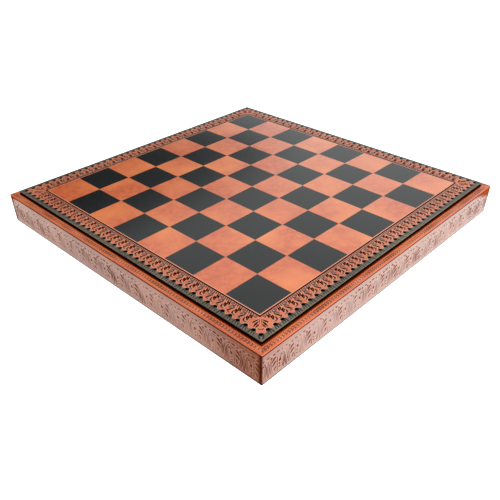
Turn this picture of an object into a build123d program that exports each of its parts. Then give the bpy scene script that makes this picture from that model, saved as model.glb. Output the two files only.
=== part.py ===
from build123d import *
import os

# A square game box: a shallow case split into compartments, and a lift-off lid
# that carries an eight by eight playing field and stands a little proud of the rim.
# Millimetres, +Z up, origin at the middle of the underside, front towards -Y.

# Playing field
square = 50.0
squares_per_side = 8
square_gap = 0.5
inlay_thickness = 0.3
line_distance = 1.5
line_width = 1.3

# Lid
border_width = 28.5
lid_board_thickness = 3.7
face_thickness = 0.8
wrap_thickness = 0.8
wrap_turn_thickness = 0.5
wrap_band_width = 6.5
wrap_turn_gap = 0.3
lid_corner_radius = 3.0
lid_edge_radius = 0.7
batten_width = 8.0
batten_height = 7.5
batten_clearance = 0.6
underlay_thickness = 0.5

# Case
case_margin = 10.5
case_height = 41.0
wall_thickness = 17.0
side_skin_thickness = 1.0
side_skin_lift = 0.3
rim_skin_thickness = 0.8
rim_turn_down = 2.0
rim_arris_radius = 0.6
base_sheet_thickness = 1.2
bottom_thickness = 5.0
bottom_rebate = 8.0
bottom_clearance = 0.3
lining_thickness = 0.8

# Compartments
compartments_across = 8
compartments_deep = 4
divider_thickness = 4.0
divider_headroom = 1.0
slot_clearance = 0.15

# Brads and pins
brad_diameter = 1.4
brad_length = 30.0
brads_per_corner = 2
pin_diameter = 1.2
bottom_pin_length = 18.0
bottom_pins_per_side = 5
batten_pin_length = 10.0
batten_pins_per_side = 4

# Plan sizes, as half widths from the middle
field_half = square * squares_per_side / 2
lid_half = field_half + border_width
case_half = lid_half + case_margin
wall_outer = case_half - side_skin_thickness
wall_inner = wall_outer - wall_thickness
room_half = wall_inner - lining_thickness
rebate_half = wall_inner + bottom_rebate
bottom_half = rebate_half - bottom_clearance
board_half = lid_half - wrap_thickness
face_half = lid_half - wrap_band_width
batten_outer = room_half - batten_clearance
turn_inner = batten_outer + wrap_turn_gap
batten_inner = batten_outer - batten_width

# Heights
wall_bottom = base_sheet_thickness
bottom_top = wall_bottom + bottom_thickness
floor_top = bottom_top + lining_thickness
wall_top = case_height - rim_skin_thickness
skin_top = case_height - rim_turn_down
lid_bottom = case_height
board_bottom = lid_bottom + wrap_turn_thickness
board_top = board_bottom + lid_board_thickness
lid_top = board_top + face_thickness
inlay_bottom = lid_top - inlay_thickness
batten_bottom = board_bottom - batten_height
divider_top = batten_bottom - divider_headroom
divider_height = divider_top - floor_top
slot_height = divider_height / 2

# The four sides are one side turned about the middle
sides = {"front": 0, "right": 90, "back": 180, "left": 270}

os.makedirs("parts", exist_ok=True)


def side_plane(height, turn):
    """The level plane of one side: its own X runs along the side, its -Y points outwards."""
    return Plane.XY.offset(height).rotated((0, 0, turn))


def strip_corners(outer, inner):
    """Plan of one mitred strip of a square ring, between two half widths."""
    return [(-outer, -outer), (outer, -outer), (inner, -inner), (-inner, -inner)]


def spread(count, length):
    """Places of evenly spaced copies, each in the middle of its share of a length."""
    step = length / count
    return [(k + 0.5) * step - length / 2 for k in range(count)]


def save(part, name):
    part.label = name
    export_step(part, f"parts/{name}.step")


# Brads through the mitres: they enter one wall's face and end in the next wall
brad_line = (wall_outer + wall_inner) / 2
brad_heights = [wall_bottom + z + (wall_top - wall_bottom) / 2
                for z in spread(brads_per_corner, wall_top - wall_bottom)]


def brad_start_plane(height, turn, own_end=True):
    """Where a brad starts, in one side's terms: through its own face, or through its neighbour's."""
    level = side_plane(height, turn)
    if own_end:
        start = level.from_local_coords(Vector(brad_line, -wall_outer, 0))
        return Plane(origin=start, z_dir=level.y_dir)
    start = level.from_local_coords(Vector(-wall_outer, -brad_line, 0))
    return Plane(origin=start, z_dir=level.x_dir)


# Pins that hold the bottom board in its rebate
bottom_pin_line = (wall_inner + bottom_half) / 2
bottom_pin_places = [(x, -bottom_pin_line) for x in spread(bottom_pins_per_side, 2 * wall_inner)]

# Pins that hold the battens to the lid
batten_pin_line = (batten_outer + batten_inner) / 2
batten_pin_places = [(x, -batten_pin_line) for x in spread(batten_pins_per_side, 2 * batten_inner)]

# Base sheet, the felt that the box stands on
with BuildPart() as base_sheet:
    with BuildSketch():
        Rectangle(2 * wall_outer, 2 * wall_outer)
    extrude(amount=base_sheet_thickness)
save(base_sheet.part, "base_sheet")

# Walls, mitred at the corners, with a rebate for the bottom board
for side, turn in sides.items():
    with BuildPart() as wall:
        with BuildSketch(side_plane(wall_bottom, turn)):
            Polygon(*strip_corners(wall_outer, wall_inner), align=None)
        extrude(amount=wall_top - wall_bottom)
        with BuildSketch(side_plane(wall_bottom, turn)):
            Rectangle(2 * rebate_half, 2 * rebate_half)
        extrude(amount=bottom_thickness, mode=Mode.SUBTRACT)
        for z in brad_heights:
            for own_end in (True, False):
                with BuildSketch(brad_start_plane(z, turn, own_end)):
                    Circle(brad_diameter / 2)
                extrude(amount=brad_length, mode=Mode.SUBTRACT)
        with BuildSketch(side_plane(wall_bottom, turn)):
            with Locations(*bottom_pin_places):
                Circle(pin_diameter / 2)
        extrude(amount=bottom_pin_length, mode=Mode.SUBTRACT)
    save(wall.part, f"wall_{side}")

# Brads, two to a corner
with BuildPart() as corner_brads:
    for turn in sides.values():
        for z in brad_heights:
            with BuildSketch(brad_start_plane(z, turn)):
                Circle(brad_diameter / 2)
            extrude(amount=brad_length)
save(corner_brads.part, "corner_brads")

# Bottom board
with BuildPart() as bottom_board:
    with BuildSketch(Plane.XY.offset(wall_bottom)):
        Rectangle(2 * bottom_half, 2 * bottom_half)
        for turn in sides.values():
            with Locations(Rotation(0, 0, turn)):
                with Locations(*bottom_pin_places):
                    Circle(pin_diameter / 2, mode=Mode.SUBTRACT)
    extrude(amount=bottom_thickness)
save(bottom_board.part, "bottom_board")

with BuildPart() as bottom_pins:
    for turn in sides.values():
        with BuildSketch(side_plane(wall_bottom, turn)):
            with Locations(*bottom_pin_places):
                Circle(pin_diameter / 2)
        extrude(amount=bottom_pin_length)
save(bottom_pins.part, "bottom_pins")

# Embossed covering of the walls, one sheet to a side
for side, turn in sides.items():
    with BuildPart() as side_skin:
        with BuildSketch(side_plane(side_skin_lift, turn)):
            Polygon(*strip_corners(case_half, wall_outer), align=None)
        extrude(amount=skin_top - side_skin_lift)
    save(side_skin.part, f"side_skin_{side}")

# Covering of the rim, mitred, turned down over the arris and rounded there
for side, turn in sides.items():
    with BuildPart() as rim_skin:
        with BuildSketch(side_plane(wall_top, turn)):
            Polygon(*strip_corners(case_half, room_half), align=None)
        extrude(amount=rim_skin_thickness)
        with BuildSketch(side_plane(skin_top, turn)):
            Polygon(*strip_corners(case_half, wall_outer), align=None)
        extrude(amount=wall_top - skin_top)
        top_edges = rim_skin.faces().sort_by(Axis.Z)[-1].edges()
        fillet(top_edges.sort_by(SortBy.LENGTH)[-1], rim_arris_radius)
    save(rim_skin.part, f"rim_skin_{side}")

# Linings of the floor and of the walls
with BuildPart() as floor_lining:
    with BuildSketch(Plane.XY.offset(bottom_top)):
        Rectangle(2 * wall_inner, 2 * wall_inner)
    extrude(amount=lining_thickness)
save(floor_lining.part, "floor_lining")

for side, turn in sides.items():
    with BuildPart() as wall_lining:
        with BuildSketch(side_plane(floor_top, turn)):
            Polygon(*strip_corners(wall_inner, room_half), align=None)
        extrude(amount=wall_top - floor_top)
    save(wall_lining.part, f"wall_lining_{side}")

# Dividers, halved over each other: slots from above in the long ones, from below in the cross ones
compartment_width = (2 * room_half - (compartments_across - 1) * divider_thickness) / compartments_across
compartment_depth = (2 * room_half - (compartments_deep - 1) * divider_thickness) / compartments_deep
cross_places = [(k + 1) * (compartment_width + divider_thickness) - divider_thickness / 2 - room_half
                for k in range(compartments_across - 1)]
long_places = [(k + 1) * (compartment_depth + divider_thickness) - divider_thickness / 2 - room_half
               for k in range(compartments_deep - 1)]
slot_width = divider_thickness + 2 * slot_clearance

for number, y in enumerate(long_places, start=1):
    with BuildPart() as divider_long:
        with BuildSketch(Plane.XY.offset(floor_top)):
            with Locations((0, y)):
                Rectangle(2 * room_half, divider_thickness)
        extrude(amount=divider_height)
        with BuildSketch(Plane.XY.offset(divider_top)):
            with Locations(*[(x, y) for x in cross_places]):
                Rectangle(slot_width, divider_thickness)
        extrude(amount=-slot_height, mode=Mode.SUBTRACT)
    save(divider_long.part, f"divider_long_{number}")

for number, x in enumerate(cross_places, start=1):
    with BuildPart() as divider_cross:
        with BuildSketch(Plane.XY.offset(floor_top)):
            with Locations((x, 0)):
                Rectangle(divider_thickness, 2 * room_half)
        extrude(amount=divider_height)
        with BuildSketch(Plane.XY.offset(floor_top)):
            with Locations(*[(x, y) for y in long_places]):
                Rectangle(divider_thickness, slot_width)
        extrude(amount=slot_height, mode=Mode.SUBTRACT)
    save(divider_cross.part, f"divider_cross_{number}")

# Lid board
with BuildPart() as lid_board:
    with BuildSketch(Plane.XY.offset(board_bottom)):
        RectangleRounded(2 * board_half, 2 * board_half, lid_corner_radius - wrap_thickness)
    extrude(amount=lid_board_thickness)
    for turn in sides.values():
        with BuildSketch(side_plane(batten_bottom, turn)):
            with Locations(*batten_pin_places):
                Circle(pin_diameter / 2)
        extrude(amount=batten_pin_length, mode=Mode.SUBTRACT)
save(lid_board.part, "lid_board")

# Dark squares, the first one in the corner that is nearest to front left
with BuildPart() as dark_squares:
    with BuildSketch(Plane.XY.offset(inlay_bottom)):
        with Locations(*[((column + 0.5) * square - field_half, (row + 0.5) * square - field_half)
                         for column in range(squares_per_side) for row in range(squares_per_side)
                         if (column + row) % 2 == 0]):
            Rectangle(square - square_gap, square - square_gap)
    extrude(amount=inlay_thickness)
save(dark_squares.part, "dark_squares")

# Dark line round the field
line_inner = field_half + line_distance
line_outer = line_inner + line_width
with BuildPart() as frame_line:
    with BuildSketch(Plane.XY.offset(inlay_bottom)):
        Rectangle(2 * line_outer, 2 * line_outer)
        Rectangle(2 * line_inner, 2 * line_inner, mode=Mode.SUBTRACT)
    extrude(amount=inlay_thickness)
save(frame_line.part, "frame_line")

# Face of the lid, with shallow beds for the dark squares and for the line
with BuildPart() as lid_face:
    with BuildSketch(Plane.XY.offset(board_top)):
        Rectangle(2 * face_half, 2 * face_half)
    extrude(amount=face_thickness)
    add(dark_squares.part, mode=Mode.SUBTRACT)
    add(frame_line.part, mode=Mode.SUBTRACT)
save(lid_face.part, "lid_face")

# Dark wrap of the lid's edge: a band on top, the edge itself and a turn underneath
with BuildPart() as lid_edge_wrap:
    with BuildSketch(Plane.XY.offset(lid_bottom)):
        RectangleRounded(2 * lid_half, 2 * lid_half, lid_corner_radius)
    extrude(amount=lid_top - lid_bottom)
    fillet(lid_edge_wrap.faces().sort_by(Axis.Z)[-1].edges(), lid_edge_radius)
    with BuildSketch(Plane.XY.offset(lid_bottom)):
        Rectangle(2 * turn_inner, 2 * turn_inner)
    extrude(amount=wrap_turn_thickness, mode=Mode.SUBTRACT)
    with BuildSketch(Plane.XY.offset(board_bottom)):
        RectangleRounded(2 * board_half, 2 * board_half, lid_corner_radius - wrap_thickness)
    extrude(amount=lid_board_thickness, mode=Mode.SUBTRACT)
    with BuildSketch(Plane.XY.offset(board_top)):
        Rectangle(2 * face_half, 2 * face_half)
    extrude(amount=face_thickness, mode=Mode.SUBTRACT)
save(lid_edge_wrap.part, "lid_edge_wrap")

# Battens that drop into the case and keep the lid in place
for side, turn in sides.items():
    with BuildPart() as batten:
        with BuildSketch(side_plane(batten_bottom, turn)):
            Polygon(*strip_corners(batten_outer, batten_inner), align=None)
            with Locations(*batten_pin_places):
                Circle(pin_diameter / 2, mode=Mode.SUBTRACT)
        extrude(amount=batten_height)
    save(batten.part, f"lid_batten_{side}")

with BuildPart() as batten_pins:
    for turn in sides.values():
        with BuildSketch(side_plane(batten_bottom, turn)):
            with Locations(*batten_pin_places):
                Circle(pin_diameter / 2)
        extrude(amount=batten_pin_length)
save(batten_pins.part, "batten_pins")

# Lining of the lid's underside, between the battens
with BuildPart() as lid_underlay:
    with BuildSketch(Plane.XY.offset(board_bottom)):
        Rectangle(2 * batten_inner, 2 * batten_inner)
    extrude(amount=-underlay_thickness)
save(lid_underlay.part, "lid_underlay")
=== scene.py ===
# %% [markdown]
# # A board box in embossed leatherette
# The object is a shallow square case with a lift-off lid, and the lid is the playing board.
# Case and lid are fibreboard glued over with leatherette, a coated cloth that is stamped with
# hot plates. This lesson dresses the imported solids: every covering that shows is made again
# as a surface worked out from a formula, and the parts inside keep their solids and get a finish.
# The box is drawn in millimetres and turned to metres once, when a mesh is made. Only the lamp
# and the camera are placed in metres.

# %% Load the frame and keep its box
from math import radians

import bpy
import numpy as np
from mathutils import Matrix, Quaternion, Vector


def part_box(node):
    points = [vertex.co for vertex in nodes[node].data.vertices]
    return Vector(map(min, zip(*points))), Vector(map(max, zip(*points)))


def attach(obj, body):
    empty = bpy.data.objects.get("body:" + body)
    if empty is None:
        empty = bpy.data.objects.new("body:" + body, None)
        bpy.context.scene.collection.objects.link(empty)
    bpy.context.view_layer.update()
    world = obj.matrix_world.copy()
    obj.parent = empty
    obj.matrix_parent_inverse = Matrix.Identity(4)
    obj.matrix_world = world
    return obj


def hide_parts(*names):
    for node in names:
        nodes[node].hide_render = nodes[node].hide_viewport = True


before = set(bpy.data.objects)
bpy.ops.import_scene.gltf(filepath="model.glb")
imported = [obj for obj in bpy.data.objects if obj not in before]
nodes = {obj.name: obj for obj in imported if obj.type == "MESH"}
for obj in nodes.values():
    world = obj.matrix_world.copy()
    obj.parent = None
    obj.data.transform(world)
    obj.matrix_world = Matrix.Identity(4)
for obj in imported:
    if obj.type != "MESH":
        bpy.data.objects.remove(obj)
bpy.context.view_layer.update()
MM = 0.001

# %% [markdown]
# ## Read the sizes
# A covering has to lie exactly where the solid that it replaces lies, so no size is typed in
# twice. Each one is read from the box of a node: how far it reaches from the middle of the
# board, and how high its underside and its top are. Only thicknesses and small gaps, which no
# box shows, are given here.

# %% Measure the solids
SQUARES = 8
SQUARE_GAP = 0.5  # between the corners of two dark squares
LINE_WIDTH = 1.3
WRAP_GAP = 0.3  # between the wrap's end and the battens
SKIN = 0.8  # thickness of the leatherette
SIDE_SKIN = 1.0


def reach(node):
    """Half the width of a node across the board, its lowest and its highest height, in mm."""
    low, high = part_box(node)
    return max(abs(low.x), high.x, high.y) / MM, low.z / MM, high.z / MM


CASE_HALF, SIDE_LOW, SIDE_TOP = reach("side_skin_front")
RIM_TOP = reach("rim_skin_front")[2]
RIM_INNER = -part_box("rim_skin_front")[1].y / MM
LID_HALF, LID_LOW, LID_TOP = reach("lid_edge_wrap")
FACE_HALF, FACE_LOW, _ = reach("lid_face")
LINE_OUTER, INLAY_LOW, _ = reach("frame_line")
LINE_INNER = LINE_OUTER - LINE_WIDTH
WRAP_INNER = reach("lid_batten_front")[0] + WRAP_GAP
BOARD_LOW = reach("lid_board")[1]
FIELD_HALF = reach("dark_squares")[0] + SQUARE_GAP / 2
SQUARE = 2 * FIELD_HALF / SQUARES
print("case", 2 * CASE_HALF, "lid", 2 * LID_HALF, "field", 2 * FIELD_HALF, "square", SQUARE)

# %% [markdown]
# ## One builder for every strip
# Nearly every covering of the box is a long strip that ends at a mitre: the four sides, the
# four rims, the four borders of the lid and its four edges. Such a strip is a closed profile
# carried along a straight path, so one function builds them all. It takes a grid of points,
# joins each point to its neighbours along the strip and round the profile, and caps the ends.
# A strip is worked out once for the front of the box and turned about the middle for the
# other three sides.

# %% Build a closed strip from a grid of points
TURNS = {"front": 0, "right": 1, "back": 2, "left": 3}  # quarters from the front
STEP = 0.5  # mm between two points of the relief
SHARP_FROM = 50  # degrees


def turned(points, quarter):
    """Points turned about the upright axis by so many quarters: x, y becomes -y, x each time."""
    out = np.array(points, dtype=float)
    for _ in range(quarter):
        out = np.stack([-out[..., 1], out[..., 0], out[..., 2]], axis=-1)
    return out


def outward(corners, faces):
    """The faces turned round if the solid they close has a negative volume, so that they face
    out. The volume is added up from the pyramids that the faces' triangles make with the origin."""
    first = corners[[f[0] for f in faces]]
    second = corners[[f[1] for f in faces]]
    third = corners[[f[2] for f in faces]]
    quads = [f for f in faces if len(f) == 4]
    volume = np.einsum("ij,ij->i", first, np.cross(second, third)).sum()
    if quads:
        a, c, d = (corners[[f[k] for f in quads]] for k in (0, 2, 3))
        volume += np.einsum("ij,ij->i", a, np.cross(c, d)).sum()
    return faces if volume > 0 else [f[::-1] for f in faces]


def finished(name, corners, faces, fields=None, smooth=True):
    """A mesh object at the origin from points in mm, with each field kept as a number per point.
    Edges that bend by more than SHARP_FROM degrees stay sharp."""
    mesh = bpy.data.meshes.new(name)
    mesh.from_pydata((corners * MM).tolist(), [], outward(corners, faces))
    for title, values in (fields or {}).items():
        layer = mesh.attributes.new(title, "FLOAT", "POINT")
        layer.data.foreach_set("value", np.ascontiguousarray(values, dtype=np.float32))
    mesh.polygons.foreach_set("use_smooth", np.full(len(mesh.polygons), smooth))
    mesh.set_sharp_from_angle(angle=radians(SHARP_FROM))
    mesh.update()
    made = bpy.data.objects.new(name, mesh)
    bpy.context.scene.collection.objects.link(made)
    return made


def strip(name, points, fields, quarter):
    """A closed strip. points[i, j] is step i along the path and step j round the profile."""
    along, around = points.shape[:2]
    index = np.arange(along * around).reshape(along, around)
    next_j = np.roll(index, -1, axis=1)
    quads = np.stack([index[:-1], index[1:], next_j[1:], next_j[:-1]], axis=-1)
    faces = quads.reshape(-1, 4).tolist() + [index[0, ::-1].tolist(), index[-1].tolist()]
    flat = {title: values.reshape(-1) for title, values in fields.items()}
    return finished(name, turned(points, quarter).reshape(-1, 3), faces, flat)


def mitred(profile):
    """The grid of a strip whose ends are cut at 45 degrees. profile is a list of (distance from
    the board's middle, height). A point's place along the strip is the same share of that
    distance for the whole row, so that the last row lies on the diagonal of the box."""
    profile = np.asarray(profile, dtype=float)
    count = int(round(2 * profile[:, 0].max() / STEP)) + 1
    x = np.linspace(-1, 1, count)[:, None] * profile[None, :, 0]
    y = -np.broadcast_to(profile[None, :, 0], x.shape)
    z = np.broadcast_to(profile[None, :, 1], x.shape)
    return np.stack([x, y, z], axis=-1)


def part_of(grid, start, count):
    """True for the points whose place round the profile is one of the count from start on."""
    rank = np.arange(grid.shape[1])
    return np.broadcast_to((rank >= start) & (rank < start + count), grid.shape[:2])


def lowered(grid, where, depth):
    """The grid with its points let down by their depth, where the mask says so."""
    out = grid.copy()
    out[..., 2] -= np.where(where, depth, 0.0)
    return out


def rounded(grid, radius, half):
    """The square corners of each ring of the profile pulled in to a round of that radius: a
    point nearer the corner than the radius moves to the arc, along the line to its centre."""
    out = grid.copy()
    reach_out = -grid[..., 1]
    r = np.clip(radius - (half - reach_out), 0, None)
    centre = reach_out - r
    past = np.abs(grid[..., 0]) - centre
    inside = (past > 0) & (r > 0)
    angle = np.where(inside, past / np.where(r > 0, r, 1) * (np.pi / 4), 0)
    along = np.sign(grid[..., 0]) * (centre + r * np.sin(angle))
    out[..., 0] = np.where(inside, along, grid[..., 0])
    out[..., 1] = np.where(inside, -(centre + r * np.cos(angle)), grid[..., 1])
    return out


def arc(centre, radius, start, end, count):
    """Points of an arc in the profile, angles in degrees from outwards towards up."""
    t = np.radians(np.linspace(start, end, count))
    return list(zip(centre[0] + radius * np.cos(t), centre[1] + radius * np.sin(t)))


print("strip builder ready for", ", ".join(TURNS))

# %% [markdown]
# ## Drawing ornament with distances
# The stamped ornament is drawn as a printer draws type: each shape gives, for every point,
# how far the point is from the shape's edge, negative inside. The smaller of two distances
# joins two shapes. The same number serves twice. It presses the surface down where the stamp
# bites, and it is kept on the mesh so that the material can lay colour with a crisp edge.

# %% Distances to simple shapes
AWAY = 9.0  # kept where a shape is left out: far outside it


def stroke(x, y, path, widths):
    """Distance to a line of round-ended pieces whose half width runs from one value to the next.
    For each piece: nearest share along it, distance to that point, less the half width there."""
    best = np.full(np.broadcast(x, y).shape, 1e3)
    for k in range(len(path) - 1):
        (ax, ay), (bx, by) = path[k], path[k + 1]
        dx, dy = bx - ax, by - ay
        share = np.clip(((x - ax) * dx + (y - ay) * dy) / (dx * dx + dy * dy), 0, 1)
        away = np.hypot(x - ax - share * dx, y - ay - share * dy)
        best = np.minimum(best, away - (widths[k] + (widths[k + 1] - widths[k]) * share))
    return best


def oval(x, y, cx, cy, a, b):
    """Distance to an oval, taken as its scaled radius less one, times the shorter half axis."""
    return (np.hypot((x - cx) / a, (y - cy) / b) - 1) * min(a, b)


def contour(distance, at, half):
    """Distance to the band of that half width that runs where a given distance has one value."""
    return np.abs(distance - at) - half


def ring(x, y, cx, cy, radius, half):
    """Distance to a ring: how far the radius is from the ring's own, less half its width."""
    return contour(np.hypot(x - cx, y - cy), radius, half)


def joined(*shapes):
    """The distance to several shapes taken as one: the smallest of theirs."""
    return np.minimum.reduce(np.broadcast_arrays(*shapes))


def press(distance, depth, soft=0.35):
    """How deep the stamp goes: depth inside the shape, nothing outside, an S curve of that
    softness across the edge."""
    t = np.clip(0.5 - distance / (2 * soft), 0, 1)
    return depth * t * t * (3 - 2 * t)


def ridge(distance, at, width):
    """The skin that the stamp pushes up beside a shape: a bell curve about one distance."""
    return np.exp(-((distance - at) / width) ** 2)


def repeat(s, pitch, offset=0.0):
    """The place inside one repeat: distance along the strip folded to plus or minus half a
    pitch."""
    return (s - offset + pitch / 2) % pitch - pitch / 2


print("press of 0.3 mm at, inside and outside an edge:", press(np.array([0, -0.5, 0.5]), 0.3))

# %% [markdown]
# ## The border's ornament
# Counted outwards from the field, the border has a thin dark line, a row of rings over small
# pillars with a drooping palmette between each two, and a row of dark bells whose fringes
# spread over an olive band. A larger palmette fills each corner on the diagonal. Two numbers
# place a point: s along the strip and u outwards from the edge of the field. The lists inside
# the functions are the drawing itself: points in mm, and the half width at each.

# %% Draw one repeat of the palmettes and the corner
PALMETTES = 25
PILLAR_FIRST = FIELD_HALF - 1.0
PILLAR_PITCH = 2 * PILLAR_FIRST / PALMETTES
CORNER_FROM = PILLAR_FIRST - FIELD_HALF + 1.2
ROOT_TWO = np.sqrt(2)


def palmette(x, u):
    """One palmette, x counted towards the half that is drawn bolder and darker, which is painted
    shade of the light on the relief. That half has two slanting leaves, each with a vein left
    standing in it, and a small one; the other half has a single stroke. The fine marks are the
    ring over each pillar, the dashes under the line, a tendril, and two curls at the foot."""
    leaves = joined(stroke(x, u, [(1.9, 6.9), (4.2, 7.9), (6.5, 9.9)], [0.6, 1.7, 0.5]),
                    stroke(x, u, [(0.9, 9.7), (2.9, 11.5), (5.1, 14.9)], [0.5, 1.85, 0.6]))
    veins = joined(stroke(x, u, [(2.6, 7.3), (4.4, 8.4), (6.5, 10.4)], [0.2, 0.3, 0.2]),
                   stroke(x, u, [(1.5, 10.6), (3.2, 12.3), (5.3, 15.6)], [0.2, 0.3, 0.2]))
    slots = joined(np.maximum(leaves, -veins),
                   stroke(x, u, [(0.7, 13.6), (1.6, 16.3)], [0.45, 0.85]),
                   stroke(x, u, [(-2.4, 11.2), (-4.1, 15.2)], [0.5, 1.0]))
    dashes = [stroke(x, u, [(middle - 0.7, 3.9), (middle + 0.7, 6.1)], [0.7, 0.6])
              for middle in (-4.2, -1.4, 1.4, 4.2)]
    fine = joined(ring(np.abs(x), u, PILLAR_PITCH / 2, 5.3, 1.3, 0.55), *dashes,
                  stroke(x, u, [(-1.8, 10.4), (-4.2, 7.4), (-6.5, 8.2)], [0.5, 1.0, 0.6]),
                  stroke(x, u, [(6.4, 18.0), (3.4, 17.7), (1.0, 16.6)], [0.4, 0.8, 0.4]),
                  stroke(x, u, [(-0.8, 18.1), (-3.4, 17.6), (-6.2, 15.8)], [0.4, 0.8, 0.4]))
    return slots, fine


def corner_palmette(a, u):
    """Slots of the corner: three leaves that fan out on each side of the diagonal, the stem's two
    outlines, and an arc at its foot. a and u are the distances past the field's corner, and
    swapping them mirrors it."""
    low, high = np.minimum(a, u), np.maximum(a, u)
    v, w = (a + u) / ROOT_TWO, (a - u) / ROOT_TWO
    foot = np.maximum(ring(w, v, 0, 20.4, 2.7, 0.35), 20.8 - v)
    stem = contour(np.abs(w), 0.9 + 0.06 * (v - 8) ** 2 / 4, 0.18)
    stem = np.maximum(stem, np.maximum(7 - v, v - 19))
    return joined(stroke(low, high, [(3.9, 7.0), (3.5, 10.0), (3.1, 13.2)], [0.35, 0.8, 0.95]),
                  stroke(low, high, [(5.9, 9.2), (6.7, 13.2), (7.9, 17.4)], [0.35, 1.0, 0.45]),
                  stroke(low, high, [(8.8, 12.6), (9.8, 15.2), (10.7, 17.8)], [0.3, 0.6, 0.3]),
                  foot, stem)


print("palmettes a side:", PALMETTES, "pitch", round(PILLAR_PITCH, 2))

# %% Draw the bells and put the border together
BELLS = 41
BELL_REACH = 22.0
BELL_CORNER = FIELD_HALF + BELL_REACH
BELL_PITCH = 2 * BELL_CORNER / BELLS
TOOTH_AT = BELL_REACH - BELL_PITCH / 2  # a tooth of olive stands between each two bells
BAND_FROM = 24.0  # all is olive from here outwards
HEAD_AT = 21.0  # the bell's head
DOME_AT = 21.2  # the russet dome round it
DOME_RADIUS = 2.5
LIPS_TO = 18.0  # the slots have lips as far out as this
SHADED_WAY = {"front": -1, "right": -1, "back": 1, "left": 1}  # towards the end of each strip nearer the camera, whose half of each ornament is drawn bolder and darker as painted shade
BITES = {"ink": 0.36, "fringe": 0.16, "fine": 0.16, "ground": 0.14}  # depth of each shape
LIP_RISE = 0.14
DEEPEST = 0.6


def border_shapes(s, u, shaded_way):
    """Distances that draw the border at s along and u outwards: ink is the dark slots, ground is
    positive on the russet side and negative on the olive band, fringe and fine are the smaller
    marks, pale the lips round them, where a highlight is painted, and light and line the stripes
    beside the field. The field that paints shade is a darker patch in the half of each palmette
    that has a single stroke. The way argument points along s, 1 or -1, to the half of each
    ornament that is drawn bolder and darker as painted shade."""
    a = np.abs(s) - FIELD_HALF
    place = shaded_way * repeat(s, PILLAR_PITCH, PILLAR_PITCH / 2 + PILLAR_FIRST)
    inner, fine = palmette(place, u)
    beyond = a > CORNER_FROM
    ink = np.where(beyond, corner_palmette(a, u), inner)
    fine = np.where(beyond, AWAY, fine)
    x = repeat(s, BELL_PITCH, BELL_CORNER)
    last = a > TOOTH_AT
    v, w = (a + u) / ROOT_TWO, (a - u) / ROOT_TWO
    bx = np.where(last, w, shaded_way * x)
    bu = np.where(last, v - DOME_AT * ROOT_TWO + HEAD_AT, u)
    dome = np.hypot(np.where(last, a - DOME_AT, x), u - DOME_AT) - DOME_RADIUS
    tooth = stroke(np.where(last, a - TOOTH_AT, BELL_PITCH / 2 - np.abs(x)), u,
                   [(0, 15.0), (0, 20.5)], [2.9, 2.3])
    ground = joined(dome, np.maximum(DOME_AT - u, -tooth),
                    BAND_FROM - np.maximum(u, np.where(last, a, 0)))
    bell = oval(bx, bu, 0, HEAD_AT, 2.4, 1.8)
    fringe = joined(stroke(bx, bu, [(0.2, 22.4), (1.7, 27.2)], [1.25, 0.55]),
                    stroke(bx, bu, [(-2.3, 22.6), (-1.7, 27.2)], [0.8, 0.9]),
                    stroke(bx, bu, [(2.8, 23.2), (4.6, 27.2)], [0.35, 0.5]))
    strands = joined(stroke(bx, bu, [(1.6, 23.4), (3.3, 27.6)], [0.25, 0.45]),
                     stroke(bx, bu, [(-0.9, 23.6), (0.1, 27.6)], [0.25, 0.4]))
    # the lips beside the slots, which the border's colour paints with a highlight through the pale
    # field
    lip = np.maximum(contour(joined(ink, fine + 0.1), 0.65, 0.22), np.maximum(u, a) - LIPS_TO)
    return {"ink": joined(ink, bell), "ground": ground, "fringe": fringe,
            "pale": joined(lip, contour(ground, 0.5, 0.3), strands),
            # painted shade: a darker patch in the half of each palmette with a single stroke
            "rubbed": np.where(beyond, AWAY, oval(place, u, -4.6, 10.3, 2.9, 3.3)),
            "line": np.maximum(contour(u, 2.05, 0.95), a - 3.0), "fine": fine, "light": u - 0.75}


def border_depth(s, u, shaded_way):
    """How far the stamp presses the border down, in mm: each shape by its own bite, less the
    rise of the lips. Everything is sunk by that rise, so that nothing stands above the solid."""
    shapes = border_shapes(s, u, shaded_way)
    depth = sum(press(shapes[title], bite) for title, bite in BITES.items())
    return np.clip(depth - press(shapes["pale"], LIP_RISE) + LIP_RISE, 0, DEEPEST), shapes


print("bells a side:", BELLS, "pitch", round(BELL_PITCH, 2))

# %% [markdown]
# ## The lid's border and its wrapped edge
# The face of the lid is one sheet: the field in the middle and the border round it. The edge
# is a dark sheet that laps over the border's outer part, goes round the edge of the board and
# turns under it. Both carry the same ornament, so both take their relief from the same drawing
# and meet without a step.

# %% Make the four borders


def border(side):
    """The border's profile: from the field outwards along the top, a step down for the dark
    line, on to the wrap, and back underneath."""
    line = [(FIELD_HALF, LID_TOP), (LINE_INNER, LID_TOP), (LINE_INNER, INLAY_LOW)]
    line += [(LINE_OUTER, INLAY_LOW), (LINE_OUTER, LID_TOP)]
    top = [(d, LID_TOP) for d in np.arange(LINE_OUTER + 0.4, FACE_HALF + 1e-6, STEP)]
    if top[-1][0] < FACE_HALF - 1e-6:
        top.append((FACE_HALF, LID_TOP))
    grid = mitred(line + top + [(FACE_HALF, FACE_LOW), (FIELD_HALF, FACE_LOW)])
    s, u = grid[..., 0], -grid[..., 1] - FIELD_HALF
    depth, shapes = border_depth(s, u, SHADED_WAY[side])
    grid = lowered(grid, part_of(grid, len(line), len(top)), depth)
    return strip("border_leather_" + side, grid, shapes, TURNS[side])


borders = [border(side) for side in TURNS]
print("border:", len(borders[0].data.vertices), "points a side")

# %% Make the four wrapped edges
LID_ROUND = 1.4  # radius of the upright corners
LID_FOLD = 0.8  # radius of the arris
LID_FOOT = 0.5
FADE_END, FADE_LENGTH = 0.9, 0.6  # the relief ends so far from the edge, over that length
BLACK_UNDER = 0.9  # the edge is left black from so far below the top
ON_TOP = 3.0


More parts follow.
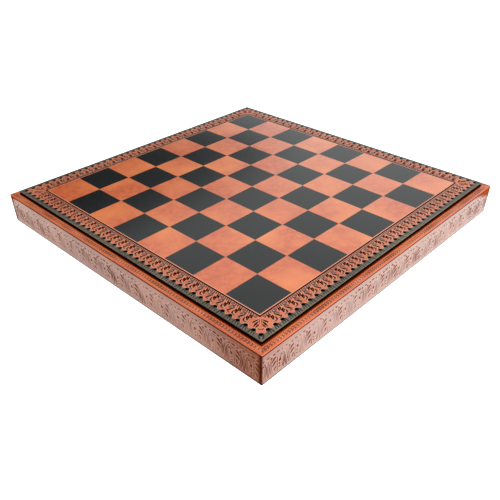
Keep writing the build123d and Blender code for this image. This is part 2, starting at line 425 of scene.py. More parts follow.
def edge(side):
    """The wrap's profile: along the band, round the arris, down the side, under the board and
    back inside along its faces. The relief fades out before the arris. outer is negative where
    the edge is left black."""
    top = [(d, LID_TOP) for d in np.arange(FACE_HALF, LID_HALF - LID_FOLD - 0.2, STEP)]
    bend = arc((LID_HALF - LID_FOLD, LID_TOP - LID_FOLD), LID_FOLD, 90, 0, 6)
    fall = [(LID_HALF, z) for z in np.linspace(LID_TOP - LID_FOLD - 0.5, LID_LOW + 0.9, 6)]
    foot = arc((LID_HALF - LID_FOOT, LID_LOW + LID_FOOT), LID_FOOT, 0, -90, 4)
    inside = LID_HALF - SKIN
    back = [(WRAP_INNER, LID_LOW), (WRAP_INNER, BOARD_LOW), (inside, BOARD_LOW)]
    back += [(inside, FACE_LOW), (FACE_HALF, FACE_LOW)]
    grid = mitred(top + bend + fall + foot + back)
    s, u = grid[..., 0], -grid[..., 1] - FIELD_HALF
    depth, shapes = border_depth(s, u, SHADED_WAY[side])
    fade = np.clip((LID_HALF - FADE_END - FIELD_HALF - u) / FADE_LENGTH, 0, 1)
    on_top = part_of(grid, 0, len(top) + 1)
    grid = lowered(grid, on_top, depth * fade)
    shapes["outer"] = np.where(on_top, ON_TOP, grid[..., 2] - LID_TOP + BLACK_UNDER)
    return strip("edge_leather_" + side, rounded(grid, LID_ROUND, LID_HALF), shapes, TURNS[side])


edges = [edge(side) for side in TURNS]
print("edge:", len(edges[0].data.vertices), "points a side")

# %% [markdown]
# ## The playing field
# The field is the middle of the same russet sheet. Each dark square is a thin piece of black
# leatherette let into it, so the sheet has 32 shallow pockets. It is a height map on lines
# that are doubled at each pocket's edge, which makes the pocket's walls upright.

# %% Make the field with its pockets


def field():
    """Heights on a grid whose lines come in pairs, one for each side of an edge. A cell is low
    if its column and row add up to an even number and it isn't a gap. Points that fall together
    are joined, and faces that shrink to a line by that are left out."""
    half_gap = SQUARE_GAP / 2
    starts = -FIELD_HALF + SQUARE * np.arange(SQUARES)
    edges_at = np.sort(np.concatenate([starts + half_gap, starts + SQUARE - half_gap]))
    lines = np.concatenate([[-FIELD_HALF], np.repeat(edges_at, 2), [FIELD_HALF]])
    cell = np.full(2 * SQUARES + 1, -1)
    cell[1::2] = np.arange(SQUARES)
    number = np.repeat(cell, 2)
    col, row = np.meshgrid(number, number, indexing="ij")
    low = (col >= 0) & (row >= 0) & ((col + row) % 2 == 0)
    x, y = np.meshgrid(lines, lines, indexing="ij")
    corners = np.stack([x, y, np.where(low, INLAY_LOW, LID_TOP)], axis=-1).reshape(-1, 3)
    index = np.arange(x.size).reshape(x.shape)
    faces = np.stack([index[:-1, :-1], index[1:, :-1], index[1:, 1:], index[:-1, 1:]], axis=-1)
    around = np.concatenate([index[:-1, 0], index[-1, :-1], index[:0:-1, -1], index[0, :0:-1]])
    under = corners[around] * [1, 1, 0] + [0, 0, FACE_LOW]
    ids = np.arange(len(around)) + len(corners)
    skirt = np.stack([around, ids, np.roll(ids, -1), np.roll(around, -1)], axis=-1)
    every, same = np.unique(np.concatenate([corners, under]).round(4), axis=0, return_inverse=True)
    same = same.reshape(-1)
    quads = same[np.concatenate([faces.reshape(-1, 4), skirt])]
    whole = (np.diff(np.sort(quads, axis=1), axis=1) > 0).all(axis=1)
    every_face = quads[whole].tolist() + [same[ids[::-1]].tolist()]
    return finished("field_leather", every, every_face, smooth=False)


field_leather = field()
print("field:", len(field_leather.data.polygons), "faces")

# %% [markdown]
# ## The sides of the case
# A wide band of the side is stamped blind, with no colour, so only relief shows it: a row of
# palmettes, each under a horseshoe arch, with tall leaves between the arches. The strip above
# the band is plain. The hollows keep a darker dye and have no gloss, which the mesh keeps as
# fields. Other fields hold a dark lap at the upright corners and light that is painted on: a
# highlight on the swell beside the shapes, shadow along the seam under the rim and along the
# foot, an upper corner painted darker and without gloss as shade, gloss taken down near one end
# as a painted dimming of the reflection, and a front painted paler as a reflection.

# %% Draw the side's ornament
SIDE_PITCH = 27.1
# Where one palmette of each side stands. The others follow by the pitch.
SIDE_FIRST = {"front": 22.6 - CASE_HALF, "right": 14.0 - CASE_HALF, "back": 7.0 - CASE_HALF,
              "left": CASE_HALF - 10.8}
# The upper corner of each side that is painted darker and without gloss, as painted shade: its end,
# how long it is, and how far down it comes.
TOP_SHADE = {"front": (1, 58.0, 20.0), "right": (-1, 40.0, 29.0), "back": (1, 30.0, 32.0),
             "left": (-1, 30.0, 30.0)}
# Width of the dark lap at the upright corners.
LAP = {"front": 1.0, "right": 4.6, "back": 1.0, "left": 4.6}
# How far from the end nearer the camera the gloss is half taken away, a painted dimming of the
# floor's reflection there.
DIMMED_REFLECTION = {"left": 60.0, "front": 20.0}
NOT_DIMMED = -60.0
# A negative number paints a whole side paler, a painted reflection of the bright surround.
PAINTED_SHEEN = {"front": -9.0}
SIDE_SUNK = 0.24  # the swelling beside the shapes rises by this much at most
WEAR = 0.72  # share of the stamp's depth that is left on the average
WAVE, END_GAIN, END_LENGTH = 0.12, 0.12, 50.0


def top_shade_edge(side, s, z):
    """Distance to the darker part at one upper corner of a side, painted shade. Its edge falls from
    the top, a given length from the corner, to a given height at the corner, steeper at the end."""
    end, length, height = TOP_SHADE[side]
    from_corner = CASE_HALF - end * s
    share = from_corner.clip(0, None) / length
    return np.where(from_corner < length,
                    height + (SIDE_TOP + 2 - height) * share ** 0.55 - z, AWAY)


def side_shapes(s, z, first, shaded_way):
    """Distances of the stamped leaves and lines at s along and z up the side, where one palmette
    stands at first. Its half on the way given has three bold leaves, which paint the shade that
    falls on that side of the relief; the other half has a curl and dots."""
    x = shaded_way * repeat(s, SIDE_PITCH, first)
    near = np.abs(x)
    far = SIDE_PITCH / 2 - near
    leaves = joined(stroke(x, z, [(2.9, 25.8), (5.3, 24.5), (8.0, 21.6)], [0.6, 1.3, 0.5]),
                    stroke(x, z, [(2.5, 20.0), (4.7, 18.6), (7.0, 16.0)], [0.6, 1.25, 0.5]),
                    stroke(x, z, [(2.2, 12.8), (3.5, 11.0), (4.6, 8.8)], [0.45, 0.85, 0.4]))
    dots = [oval(x, z, -3.9, 18.4, 1.4, 1.7), oval(x, z, -3.2, 13.6, 0.6, 0.9),
            oval(x, z, -3.4, 9.4, 0.9, 0.8)]
    dashes = [oval(x, z, -0.9, 31.3, 2.3, 0.75), oval(x, z, 4.8, 30.3, 1.3, 0.75),
              oval(x, z, -6.9, 30.6, 1.2, 0.7), oval(x, z, 9.3, 27.9, 0.9, 1.1),
              oval(far, z, 0.0, 31.2, 1.7, 0.7)]
    arch = stroke(near, z, [(7.2, 27.6), (9.3, 25.0), (10.7, 20.5), (10.9, 13.0), (9.0, 5.6)],
                  [0.25, 0.5, 0.55, 0.5, 0.35])
    inner = stroke(near, z, [(8.7, 20.6), (8.9, 13.6), (7.2, 7.2)], [0.3, 0.45, 0.3])
    curl = stroke(x, z, [(-4.6, 20.8), (-4.9, 23.4), (-6.2, 25.2), (-8.2, 22.6)],
                  [0.3, 0.5, 0.5, 0.35])
    stem = stroke(x, z, [(0.0, 6.0), (0.0, 24.5)], [0.5, 0.25])
    tall = stroke(far, z, [(0.0, 26.5), (1.2, 19.0), (1.3, 12.0), (0.2, 4.6)],
                  [0.25, 0.4, 0.45, 0.3])
    return joined(leaves, *dots, *dashes), joined(arch, inner, curl, stem, tall)


def stamp_left(side, s, z):
    """How much of the stamp's depth a place still has: a mean with slow waves over it, and a
    little more towards the end nearer the camera, falling off over END_LENGTH."""
    waves = 0.2 * np.sin(s / 13.7 + 1.3) * np.sin(s / 5.1 + z / 7.3)
    waves = WEAR + waves + WAVE * np.sin(s / 37.0 + z / 11.0)
    return waves + END_GAIN * np.exp(-(CASE_HALF - SHADED_WAY[side] * s) / END_LENGTH)


print("palmettes a side:", round(2 * CASE_HALF / SIDE_PITCH, 1))


# %% Make the four sides
CASE_ROUND = 1.2  # radius of the upright corners
SIDE_ROLL = 0.45  # radius of the top and the foot
SWELL_AT = 0.9  # the skin swells so far outside a shape
PLAIN_END, PLAIN_FADE = 3.0, 1.5  # nothing is stamped so near the upright corners


def side_panel(side):
    """The side's profile from its top edge down the face and up the back, with the top and foot
    rolled in. Near the upright corners the face curves back so that two sides meet in a round."""
    roll = SIDE_ROLL
    face = arc((CASE_HALF - roll, SIDE_TOP - roll), roll, 90, 0, 4)
    heights = np.arange(SIDE_TOP - roll - 0.4, SIDE_LOW + roll + 0.3, -STEP)
    face += [(CASE_HALF, z) for z in heights]
    face += arc((CASE_HALF - roll, SIDE_LOW + roll), roll, 0, -90, 4)
    back = [(CASE_HALF - SIDE_SKIN, SIDE_LOW), (CASE_HALF - SIDE_SKIN, SIDE_TOP)]
    grid = mitred(face + back)
    s, z = grid[..., 0], grid[..., 2]
    deep, thin = side_shapes(s, z, SIDE_FIRST[side], SHADED_WAY[side])
    nearest = joined(deep, thin)
    left = stamp_left(side, s, z)
    clear = np.clip((CASE_HALF - PLAIN_END - np.abs(s)) / PLAIN_FADE, 0, 1)
    carve = press(deep, 0.52, 0.5) + press(thin, 0.26, 0.45) - 0.22 * ridge(nearest, SWELL_AT, 0.55)
    depth = SIDE_SUNK + carve.clip(-SIDE_SUNK, 0.5) * left * clear
    grid[..., 1] += np.where(part_of(grid, 0, len(face)), depth, 0)
    fields = {"stamp": joined(deep, thin + 0.25) + 1.2 * (WEAR - left),
              # the swell beside the shapes, where the side's colour paints a highlight
              "swell": contour(nearest, SWELL_AT, 0.45),
              "corner": CASE_HALF - np.abs(s) - LAP[side],
              # dark seam under the rim, with painted shade in its groove
              "joint": SIDE_TOP - z - 1.0,
              # darker towards the foot: painted contact shadow where the box meets the floor
              "foot": z - SIDE_LOW - 1.0,
              # painted shade: an upper corner drawn darker and without gloss
              "worn": top_shade_edge(side, s, z),
              # painted shade in the reflection: less gloss towards the end nearer the camera
              "handled": CASE_HALF - SHADED_WAY[side] * s - DIMMED_REFLECTION.get(side, NOT_DIMMED),
              # painted reflection: a whole side drawn paler
              "faded": np.full(s.shape, PAINTED_SHEEN.get(side, AWAY))}
    return strip("side_leather_" + side, rounded(grid, CASE_ROUND, CASE_HALF), fields, TURNS[side])


side_panels = [side_panel(side) for side in TURNS]
print("side panel:", len(side_panels[0].data.vertices), "points, pitch", SIDE_PITCH, "mm")

# %% [markdown]
# ## The rim of the case
# The lid is smaller than the case, so a ledge of russet leatherette shows all round it. It
# goes over the wall's top, round a soft arris and a little way down the outside. A fine band
# of small leaves, half rings and dots is stamped along its middle.

# %% Make the four rims
RIM_LEAVES = 108
RIM_PITCH = 2 * CASE_HALF / RIM_LEAVES
RIM_STEP = 0.45
BAND_MIDDLE = LID_HALF + 5.5
RIM_LIP, RIM_FOLD = 0.4, 1.1  # radii of the inner edge and of the arris
RIM_SUNK = 0.1
OFF_RIM = 5.0


def rim_shapes(s, d):
    """Distances of the rim's fine band: a slanting leaf, a half ring beside it and two dots, over
    and over, stamped deeper here and shallower there. d is the distance from the board's middle."""
    x = repeat(s, RIM_PITCH)
    w = d - BAND_MIDDLE
    leaf = stroke(x, w, [(-1.3, -2.4), (-0.4, -0.3), (0.0, 2.3)], [0.4, 0.75, 0.35])
    hook = np.maximum(ring(x, w, 1.05, 0.3, 0.85, 0.3), -0.2 - w)
    dots = joined(oval(x, w, 1.2, -1.7, 0.7, 0.6), oval(x, w, -1.5, 1.8, 0.5, 0.6))
    uneven = 0.12 * np.sin(s / 7.1) + 0.12 * np.sin(s / 17.3)
    return joined(leaf, hook, dots) + uneven


def rim(side):
    """The rim's profile: up inside, along the top, round the arris, down outside, and back."""
    up = arc((RIM_INNER + RIM_LIP, RIM_TOP - RIM_LIP), RIM_LIP, 180, 90, 4)
    top = [(d, RIM_TOP) for d in np.linspace(RIM_INNER + 1.0, LID_HALF - 0.5, 8)]
    top += [(d, RIM_TOP) for d in np.arange(LID_HALF, CASE_HALF - RIM_FOLD - 0.2, RIM_STEP)]
    bend = arc((CASE_HALF - RIM_FOLD, RIM_TOP - RIM_FOLD), RIM_FOLD, 90, 0, 7)
    foot = [(CASE_HALF, SIDE_TOP + 0.35), (CASE_HALF - 0.12, SIDE_TOP + 0.1)]
    foot += [(CASE_HALF - 0.4, SIDE_TOP)]
    back = [(CASE_HALF - SKIN, SIDE_TOP), (CASE_HALF - SKIN, RIM_TOP - SKIN)]
    back += [(RIM_INNER, RIM_TOP - SKIN)]
    grid = mitred(up + top + bend + foot + back)
    s, d = grid[..., 0], -grid[..., 1]
    stamped = rim_shapes(s, d)
    mitre = (d - np.abs(s)) / ROOT_TWO
    relief = RIM_SUNK + press(stamped, 0.26, 0.3) - RIM_SUNK * ridge(stamped, 0.5, 0.3)
    on_top = part_of(grid, len(up), len(top))
    grid = lowered(grid, on_top, relief * np.clip((mitre - 0.5) / 0.5, 0, 1))
    fields = {"stamp": np.where(on_top, stamped, OFF_RIM),
              # the swell beside the stamps, where the rim's colour paints a highlight
              "swell": np.where(on_top, contour(stamped, 0.5, 0.2), OFF_RIM),
              "panel": np.where(on_top, contour(d, BAND_MIDDLE, 2.8), OFF_RIM),
              # painted highlight: the rim's outer arris is drawn paler
              "arris": np.maximum(CASE_HALF - 0.9 - d, RIM_TOP - 0.9 - grid[..., 2]),
              # dark seams at the mitre and the fold, with painted shadow on the turned-down face
              # and in a strip along the lid's foot
              "joint": joined(grid[..., 2] - SIDE_TOP - 1.2, mitre + 0.1,
                              contour(d, LID_HALF + 0.4, 0.8))}
    return strip("rim_leather_" + side, rounded(grid, CASE_ROUND, CASE_HALF), fields, TURNS[side])


rims = [rim(side) for side in TURNS]
print("rim:", len(rims[0].data.vertices), "points a side")

# %% [markdown]
# ## Finishes
# A finish starts from what the real surface is. Colours are given as hex values, as a picker
# reads them from a screen, and one function turns them to the linear values that a renderer
# adds up. One small function adds a node with its settings and its links, so that each finish
# reads as a short list.

# %% Colour and node helpers


def linear(code):
    """An sRGB hex colour as linear values: a straight part near black, a power above it."""
    part = np.array([int(code[k:k + 2], 16) for k in (0, 2, 4)]) / 255
    part = np.where(part <= 0.04045, part / 12.92, ((part + 0.055) / 1.055) ** 2.4)
    return (*part.tolist(), 1.0)


def grey(value):
    """A plain grey, for masks that drive how much clear lacquer lies on the skin."""
    return (value, value, value, 1.0)


def add(tree, kind, links=None, **settings):
    """One node of that kind. settings are its properties, and links its sockets by number or
    name: a link is (node, output), and anything else is a value."""
    made = tree.nodes.new(kind)
    for key, value in settings.items():
        setattr(made, key, value)
    for key, value in (links or {}).items():
        socket = made.inputs[key]
        if isinstance(value, tuple) and len(value) == 2 and isinstance(value[0], bpy.types.Node):
            tree.links.new(value[0].outputs[value[1]], socket)
        else:
            socket.default_value = value
    return made


def new_finish(name):
    """A material named for a real finish, its tree, its shader and the object's coordinates."""
    made = bpy.data.materials.new(name)
    made.use_nodes = True
    tree = made.node_tree
    return made, tree, tree.nodes["Principled BSDF"], (add(tree, "ShaderNodeTexCoord"), "Object")


def constants(shader, **values):
    """Constants set on the shader's own sockets, underscores in a name standing for spaces."""
    for title, value in values.items():
        shader.inputs[title.replace("_", " ")].default_value = value


print("tan in linear light:", [round(v, 3) for v in linear("C85A2D")])

# %% [markdown]
# ## Leatherette
# The covering is cloth with a polyurethane skin, embossed with a fine pebble and rubbed with
# a darker colour that stays in the hollows. It gives a warm mottled colour and a satin gloss
# with soft, nearly clear reflections. The gloss is a clear coat over the skin, so that it can
# be left out where a hot plate has burnt the coat away. Real pebbles are about 0.5 mm across;
# they are drawn at 1.3 mm, which is as coarse as they need to be to show in a picture of the
# whole box.

# %% Functions for the leatherettes
PEBBLE = 1.3
DRIFT = 60.0  # size of the slow changes of colour, in mm


def leatherette(name, colour, dark, light, gloss, mottle=7.0, bump=0.05, shine=0.0):
    """Leatherette: a cloudy mix of three colours at the mottle's size in mm, pebbles as bump, and
    a roughness that varies a little about the value given as gloss. Returns the material, its
    tree, its shader and the colour as a link."""
    made, tree, shader, at = new_finish(name)
    cloud = add(tree, "ShaderNodeTexNoise", {"Vector": at, "Scale": 1 / (mottle * MM),
                                             "Detail": 5.0, "Roughness": 0.62})
    drift = add(tree, "ShaderNodeTexNoise", {"Vector": at, "Scale": 1 / (DRIFT * MM),
                                             "Detail": 2.0})
    amount = add(tree, "ShaderNodeMapRange", {"Value": (cloud, 0), "From Min": 0.34,
                                              "From Max": 0.66})
    shade = add(tree, "ShaderNodeMix", {0: (amount, 0), 6: linear(dark), 7: linear(colour)},
                data_type="RGBA")
    lift = add(tree, "ShaderNodeMapRange", {"Value": (drift, 0), "From Min": 0.4,
                                            "From Max": 0.75})
    body = add(tree, "ShaderNodeMix", {0: (lift, 0), 6: (shade, 2), 7: linear(light)},
               data_type="RGBA")
    cells = add(tree, "ShaderNodeTexVoronoi", {"Vector": at, "Scale": 1 / (PEBBLE * MM)},
                feature="SMOOTH_F1")
    rise = add(tree, "ShaderNodeBump", {"Height": (cells, 0), "Strength": 0.5,
                                        "Distance": bump * MM}, invert=True)
    rough = add(tree, "ShaderNodeMapRange", {"Value": (cloud, 0), "To Min": gloss - 0.04,
                                             "To Max": gloss + 0.05})
    tree.links.new(rise.outputs[0], shader.inputs["Normal"])
    tree.links.new(rough.outputs[0], shader.inputs["Roughness"])
    tree.links.new(body.outputs[2], shader.inputs["Base Color"])
    constants(shader, IOR=1.5, Specular_IOR_Level=shine)
    return made, tree, shader, (body, 2)


def masked(tree, name, soft, under, over, grow=0.0, most=1.0):
    """A mix of two colours by a field of distances on the mesh: over inside the shape grown by so
    many mm, under outside, across a soft edge. most is the share of over at its strongest."""
    field_at = add(tree, "ShaderNodeAttribute", attribute_name=name)
    share = add(tree, "ShaderNodeMapRange",
                {"Value": (field_at, "Fac"), "From Min": grow - soft, "From Max": grow + soft,
                 "To Min": most, "To Max": 0.0}, interpolation_type="SMOOTHSTEP")
    mix = add(tree, "ShaderNodeMix", {0: (share, 0), 6: under, 7: over}, data_type="RGBA")
    return mix, 2


def layered(tree, socket, start, tint, layers):
    """A colour under a list of layers, each laid over the ones before it by its own field, and
    linked to the socket. A layer is (field, colour, softness, growth, strongest share), and
    tint turns its colour to a value for a node."""
    for title, colour, soft, grow, most in layers:
        start = masked(tree, title, soft, start, tint(colour), grow, most)
    tree.links.new(start[0].outputs[start[1]], socket)


print("pebbles of", PEBBLE, "mm, colour drifting over", DRIFT, "mm")

# %% Mix the field, the inlay and the line
FACE, _, shader, _ = leatherette("russet_leatherette_field", "CC5E26", "B04818", "DA7636", 0.2,
                                 shine=0.7)
constants(shader, Coat_Weight=0.8, Coat_Roughness=0.18)
BLACK, *_ = leatherette("black_leatherette_inlay", "0A0C0D", "070809", "0E1112", 0.15,
                        mottle=3.0, bump=0.03, shine=0.5)
LINE, *_ = leatherette("black_foil_line", "0B0605", "070403", "100A08", 0.5, mottle=3.0, bump=0.02)
print("field:", [m.name for m in (FACE, BLACK, LINE)])

# %% Mix the printed border and the wrapped edge
RUSSET, OLIVE, STRAND, FRINGE, SLOT = "BC5A34", "524638", "A0967F", "0A0805", "060302"
STRANDS = [("pale", STRAND, 0.2, 0.0, 0.38), ("fringe", FRINGE, 0.3, 0.15, 1.0),
           ("ink", SLOT, 0.2, 0.1, 1.0)]

BORDER, tree, shader, body = leatherette("russet_leatherette_printed", RUSSET, "A64824", "C86C4A",
                                         0.42, mottle=3.5)
layered(tree, shader.inputs["Base Color"], body, linear, [
    # painted shade: a darker patch in the half of each palmette with a single stroke
    ("rubbed", "4A2E20", 0.7, 0.0, 0.85),
    # painted highlight: the lips beside the slots are drawn paler
    ("pale", "D08260", 0.2, 0.0, 0.7),
    ("fine", "3E1A10", 0.2, 0.15, 0.95),
    ("ground", OLIVE, 0.2, 0.0, 1.0),
    *STRANDS,
    ("light", "E2A488", 0.2, 0.0, 0.7),
    ("line", SLOT, 0.15, 0.0, 1.0)])
layered(tree, shader.inputs["Coat Weight"], grey(0.8), grey, [
    ("ink", 0.0, 0.25, 0.2, 1.0),
    ("line", 0.0, 0.2, 0.0, 1.0)])
constants(shader, Coat_Roughness=0.16, Coat_IOR=1.7)

EDGE, tree, shader, body = leatherette("black_leatherette_wrap", "564A3A", "40382A", "685C4C",
                                       0.42, mottle=3.0)
russet = masked(tree, "ground", 0.2, linear(RUSSET), body)
layered(tree, shader.inputs["Base Color"], russet, linear, [
    *STRANDS,
    ("outer", "120402", 0.25, 0.0, 1.0)])
layered(tree, shader.inputs["Coat Weight"], grey(0.95), grey, [
    ("ink", 0.0, 0.25, 0.2, 1.0),
    ("outer", 0.0, 0.25, 0.0, 1.0)])
constants(shader, Coat_Roughness=0.25)
print("lid:", [m.name for m in (BORDER, EDGE)])

# %% Mix the rim and the sides
RIM, tree, shader, body = leatherette("russet_leatherette_rim", "C04C16", "A63A0E", "CE6228", 0.36,
                                      mottle=3.5)
layered(tree, shader.inputs["Base Color"], body, linear, [
    ("panel", "C0623A", 0.4, 0.0, 0.45),
    # painted highlight on the swell beside the stamps
    ("swell", "DC9670", 0.15, 0.0, 0.7),
    ("stamp", "5E2A12", 0.2, 0.1, 0.8),
    # painted highlight along the rim's outer arris
    ("arris", "BC6C48", 0.4, 0.0, 0.4),
    # dark seams, with painted shadow on the turned-down face and along the lid's foot
    ("joint", "2E0C05", 0.25, 0.0, 0.9)])
layered(tree, shader.inputs["Coat Weight"], grey(0.9), grey, [
    ("stamp", 0.5, 0.25, 0.0, 1.0),
    ("joint", 0.0, 0.25, 0.1, 1.0)])
constants(shader, Coat_Roughness=0.16, Coat_IOR=1.7)

SIDE, tree, shader, body = leatherette("russet_leatherette_stamped", "7A432A", "65331D", "8C553A",
                                       0.42)
layered(tree, shader.inputs["Base Color"], body, linear, [
    # painted reflection: the front drawn paler
    ("faded", "816964", 0.5, 0.0, 0.6),
    # painted highlight on the swell beside the shapes
    ("swell", "9C6E58", 0.35, 0.0, 0.5),
    ("stamp", "4E1B0B", 0.35, 0.05, 0.92),
    # dark seam under the rim, with painted shade in its groove
    ("joint", "3A140A", 0.4, 0.0, 0.85),
    # painted contact shadow along the foot
    ("foot", "2E2622", 0.8, 0.7, 0.85),
    # painted shade: the upper corner darker, and below without gloss
    ("worn", "7E3614", 3.5, 0.0, 0.95),
    ("corner", "3A1409", 2.4, 0.0, 0.97)])
layered(tree, shader.inputs["Coat Weight"], grey(1.0), grey, [
    # painted shade in the reflection: less gloss near the end nearer the camera
    ("handled", 0.2, 60.0, 0.0, 1.0),
    ("stamp", 0.12, 0.35, 0.0, 1.0),
    ("joint", 0.0, 0.4, 0.0, 1.0),
    ("foot", 0.4, 0.4, 0.0, 1.0),
    ("worn", 0.0, 3.5, 0.0, 1.0),
    ("corner", 0.0, 2.4, 0.0, 1.0)])
constants(shader, Coat_Roughness=0.3)
print("case:", [m.name for m in (RIM, SIDE)])

# %% [markdown]
# ## Inside and underneath
# With the lid off, the case shows flocked compartments. The walls and the boards are medium
# density fibreboard, the battens are planed softwood, the linings and the foot are wool felt,
# and the brads and pins are bright drawn steel.

# %% Mix the finishes of the parts inside


def fibres(name, colour, dark, size, rough, bump, sheen=0.0, stretch=(1, 1, 1), metallic=0.0):
    """A fibrous finish: noise of that size in mm, stretched along the fibres, as colour and as
    bump of that height in mm."""
    made, tree, shader, at = new_finish(name)
    scaled = add(tree, "ShaderNodeMapping", {"Vector": at, "Scale": stretch})
    hair = add(tree, "ShaderNodeTexNoise", {"Vector": (scaled, 0), "Scale": 1 / (size * MM),
                                            "Detail": 6.0, "Roughness": 0.7})
    mix = add(tree, "ShaderNodeMapRange", {"Value": (hair, 0), "From Min": 0.3, "From Max": 0.7})
    tone = add(tree, "ShaderNodeMix", {0: (mix, 0), 6: linear(dark), 7: linear(colour)},
               data_type="RGBA")
    rise = add(tree, "ShaderNodeBump", {"Height": (hair, 0), "Strength": 0.6,
                                        "Distance": bump * MM})
    tree.links.new(tone.outputs[2], shader.inputs["Base Color"])
    tree.links.new(rise.outputs[0], shader.inputs["Normal"])
    constants(shader, Roughness=rough, Sheen_Weight=sheen, Metallic=metallic)
    return made


FELT = fibres("black_wool_felt_lining", "1E1C1B", "0E0D0D", 1.2, 0.95, 0.25, sheen=0.35)
FOOT_FELT = fibres("black_wool_felt_foot", "242220", "121110", 1.2, 0.95, 0.25, sheen=0.3)
FLOCKED = fibres("flocked_board_dividers", "26221F", "141210", 1.0, 0.9, 0.15, sheen=0.3)
MDF = fibres("medium_density_fibreboard", "A98458", "8E6C45", 1.6, 0.8, 0.06)
PINE = fibres("planed_softwood_battens", "C9A878", "A98555", 3.0, 0.6, 0.05, stretch=(1, 1, 6))
STEEL = fibres("bright_drawn_steel", "B9BBBD", "9B9DA0", 0.6, 0.3, 0.01, metallic=1.0)
print("inside:", [m.name for m in (FELT, FOOT_FELT, FLOCKED, MDF, PINE, STEEL)])

# %% Give every solid that stays its finish
FINISH_OF = {"base_sheet": FOOT_FELT, "bottom_board": MDF, "wall_": MDF, "wall_lining": FELT,
             "floor_lining": FELT, "lid_underlay": FELT, "divider_": FLOCKED, "lid_board": MDF,
             "lid_batten": PINE, "_pins": STEEL, "_brads": STEEL, "dark_squares": BLACK,
             "frame_line": LINE}


def finish_for(name):
    """The finish whose key fits the node's name best: the longest key found in it."""
    keys = [k for k in FINISH_OF if k in name]
    return FINISH_OF[max(keys, key=len)] if keys else None


for name, node in nodes.items():
    chosen = finish_for(name)
    if chosen:
        for k in range(len(node.material_slots)):
            node.material_slots[k].material = chosen
print("finished solids:", sum(finish_for(n) is not None for n in nodes), "of", len(nodes))

# %% Set every new piece on its body


def fit(piece, body, node, finish):
    """The piece gets its finish, rides on its body and stands for its node."""
    piece.data.materials.append(finish)
    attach(piece, body)
    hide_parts(node)


for k, side in enumerate(TURNS):
    fit(side_panels[k], "case", "side_skin_" + side, SIDE)
    fit(rims[k], "case", "rim_skin_" + side, RIM)
    fit(borders[k], "lid", "lid_face", BORDER)
    fit(edges[k], "lid", "lid_edge_wrap", EDGE)
fit(field_leather, "lid", "lid_face", FACE)

# %% [markdown]
# ## Floor, light and camera
# The box stands on a plain pale floor in even light, as in a product picture. The floor is a
# sheet of white acrylic that is lit a little from below, so that hardly any shadow shows. The
# surround is bright, brighter on the right, and the satin skin reflects it. A dark flag stands
# low at the back left, where the black squares would otherwise mirror white. One large soft
# lamp stands over the camera's right shoulder. The camera is where it has to be for the
# corners of the box to fall where they do in the picture.

# %% Make the floor
FLOOR_HALF = 2600.0
FLOOR_DEEP = 2.0
ring_of_corners = np.array([[-1, -1], [1, -1], [1, 1], [-1, 1]]) * FLOOR_HALF
floor_corners = np.array([[*corner, z] for z in (-FLOOR_DEEP, 0.0) for corner in ring_of_corners])
floor_faces = [[0, 1, 2, 3], [7, 6, 5, 4]]
floor_faces += [[k, k + 4, (k + 1) % 4 + 4, (k + 1) % 4] for k in range(4)]
floor = finished("studio_floor", floor_corners, floor_faces, smooth=False)
CARD, _, shader, _ = new_finish("lit_white_acrylic")
constants(shader, Base_Color=linear("F4F3F1"), Roughness=0.9, Emission_Color=grey(1.0),
          Emission_Strength=1.0)
floor.data.materials.append(CARD)
print("floor", 2 * FLOOR_HALF * MM, "m wide")

# %% Make the surround
DIMMEST, BRIGHTEST = 0.72, 1.16  # at the left and at the right
OVERHEAD = 0.8
FLAG_BACK, FLAG_LEFT = 1.47, 1.85  # slopes of the flag's two edges
FLAG_SOFT = (-0.02, 0.03)
FLAG_SHARE = 0.93  # of the light that it takes away
world = bpy.data.worlds.new("bright_surround")
bpy.context.scene.world = world
world.use_nodes = True
air = world.node_tree


def reckon(operation, *values):
    """One sum in the surround's tree: values are links or numbers, in the order of the sockets."""
    return add(air, "ShaderNodeMath", dict(enumerate(values)), operation=operation), 0


towards = add(air, "ShaderNodeTexCoord")
axes = add(air, "ShaderNodeSeparateXYZ", {0: (towards, "Generated")})
across = reckon("SUBTRACT", (axes, 0), (axes, 1))
sideways = add(air, "ShaderNodeMapRange", {"Value": across, "From Min": -1.0, "From Max": 1.0,
                                           "To Min": DIMMEST, "To Max": BRIGHTEST})
upwards = add(air, "ShaderNodeMapRange", {"Value": (axes, 2), "From Min": 0.5, "From Max": 0.95,
                                          "To Min": 1.0, "To Max": OVERHEAD})
bright = reckon("MULTIPLY", (sideways, 0), (upwards, 0))
behind = reckon("MULTIPLY_ADD", (axes, 2), -FLAG_BACK, (axes, 1))
beside = reckon("SUBTRACT", reckon("MULTIPLY", (axes, 2), FLAG_LEFT), (axes, 0))
flags = [add(air, "ShaderNodeMapRange", {"Value": part, "From Min": FLAG_SOFT[0],
                                         "From Max": FLAG_SOFT[1]}) for part in (behind, beside)]
flag = reckon("MULTIPLY", (flags[0], 0), (flags[1], 0))
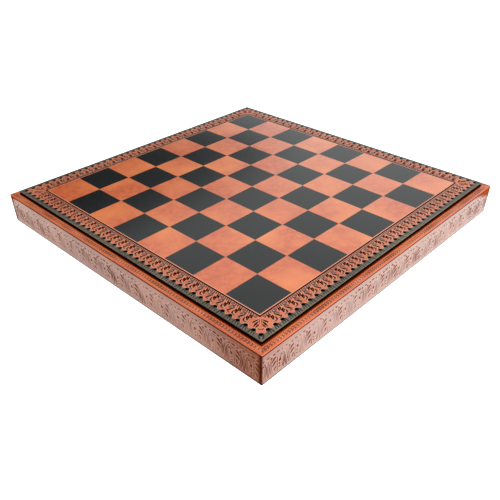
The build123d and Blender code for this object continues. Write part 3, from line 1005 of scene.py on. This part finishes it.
open_air = reckon("MULTIPLY_ADD", flag, -FLAG_SHARE, 1.0)
lit = reckon("MULTIPLY", bright, open_air)
seen = add(air, "ShaderNodeLightPath")
shown = add(air, "ShaderNodeMix", {0: (seen, 0), 2: lit, 3: 1.0})
backdrop = air.nodes["Background"]
air.links.new(shown.outputs[0], backdrop.inputs["Strength"])
backdrop.inputs["Color"].default_value = (0.97, 1.0, 1.0, 1.0)
print("surround from", DIMMEST, "to", BRIGHTEST, "with a flag at the back left")

# %% Make the lamp
LAMP_AT = Vector((-0.35, -1.6, 1.25))
LAMP_SIZE = 0.9
LAMP_WATTS = 34
lamp_data = bpy.data.lights.new("key_over_the_shoulder", "AREA")
lamp_data.shape, lamp_data.size, lamp_data.energy = "SQUARE", LAMP_SIZE, LAMP_WATTS
lamp = bpy.data.objects.new("key_over_the_shoulder", lamp_data)
lamp.location = LAMP_AT
lamp.rotation_mode = "QUATERNION"
lamp.rotation_quaternion = (-LAMP_AT).to_track_quat("-Z", "Y")
bpy.context.scene.collection.objects.link(lamp)
print("lamp:", lamp.name, lamp_data.energy, "W")

# %% Set the camera
EYE = Vector((-0.52712, -0.50094, 0.40902))
AIM = Vector((-0.18951, -0.17636, 0.046))
ROLL = -0.524  # degrees
LENS, SENSOR = 41.08, 36.0
SHIFT = 0.1  # share of the picture's width by which its middle lies above the lens's axis
NEAREST, FARTHEST = 0.01, 50
camera_data = bpy.data.cameras.new("camera")
camera_data.lens, camera_data.sensor_width, camera_data.shift_y = LENS, SENSOR, SHIFT
camera_data.clip_start, camera_data.clip_end = NEAREST, FARTHEST
camera = bpy.data.objects.new("camera", camera_data)
camera.location = EYE
camera.rotation_mode = "QUATERNION"
rolled = Quaternion((0, 0, 1), radians(ROLL))
camera.rotation_quaternion = (AIM - EYE).to_track_quat("-Z", "Y") @ rolled
bpy.context.scene.collection.objects.link(camera)
bpy.context.scene.camera = camera
bpy.context.scene.view_settings.view_transform = "Standard"
print("camera at", tuple(round(v, 3) for v in EYE))
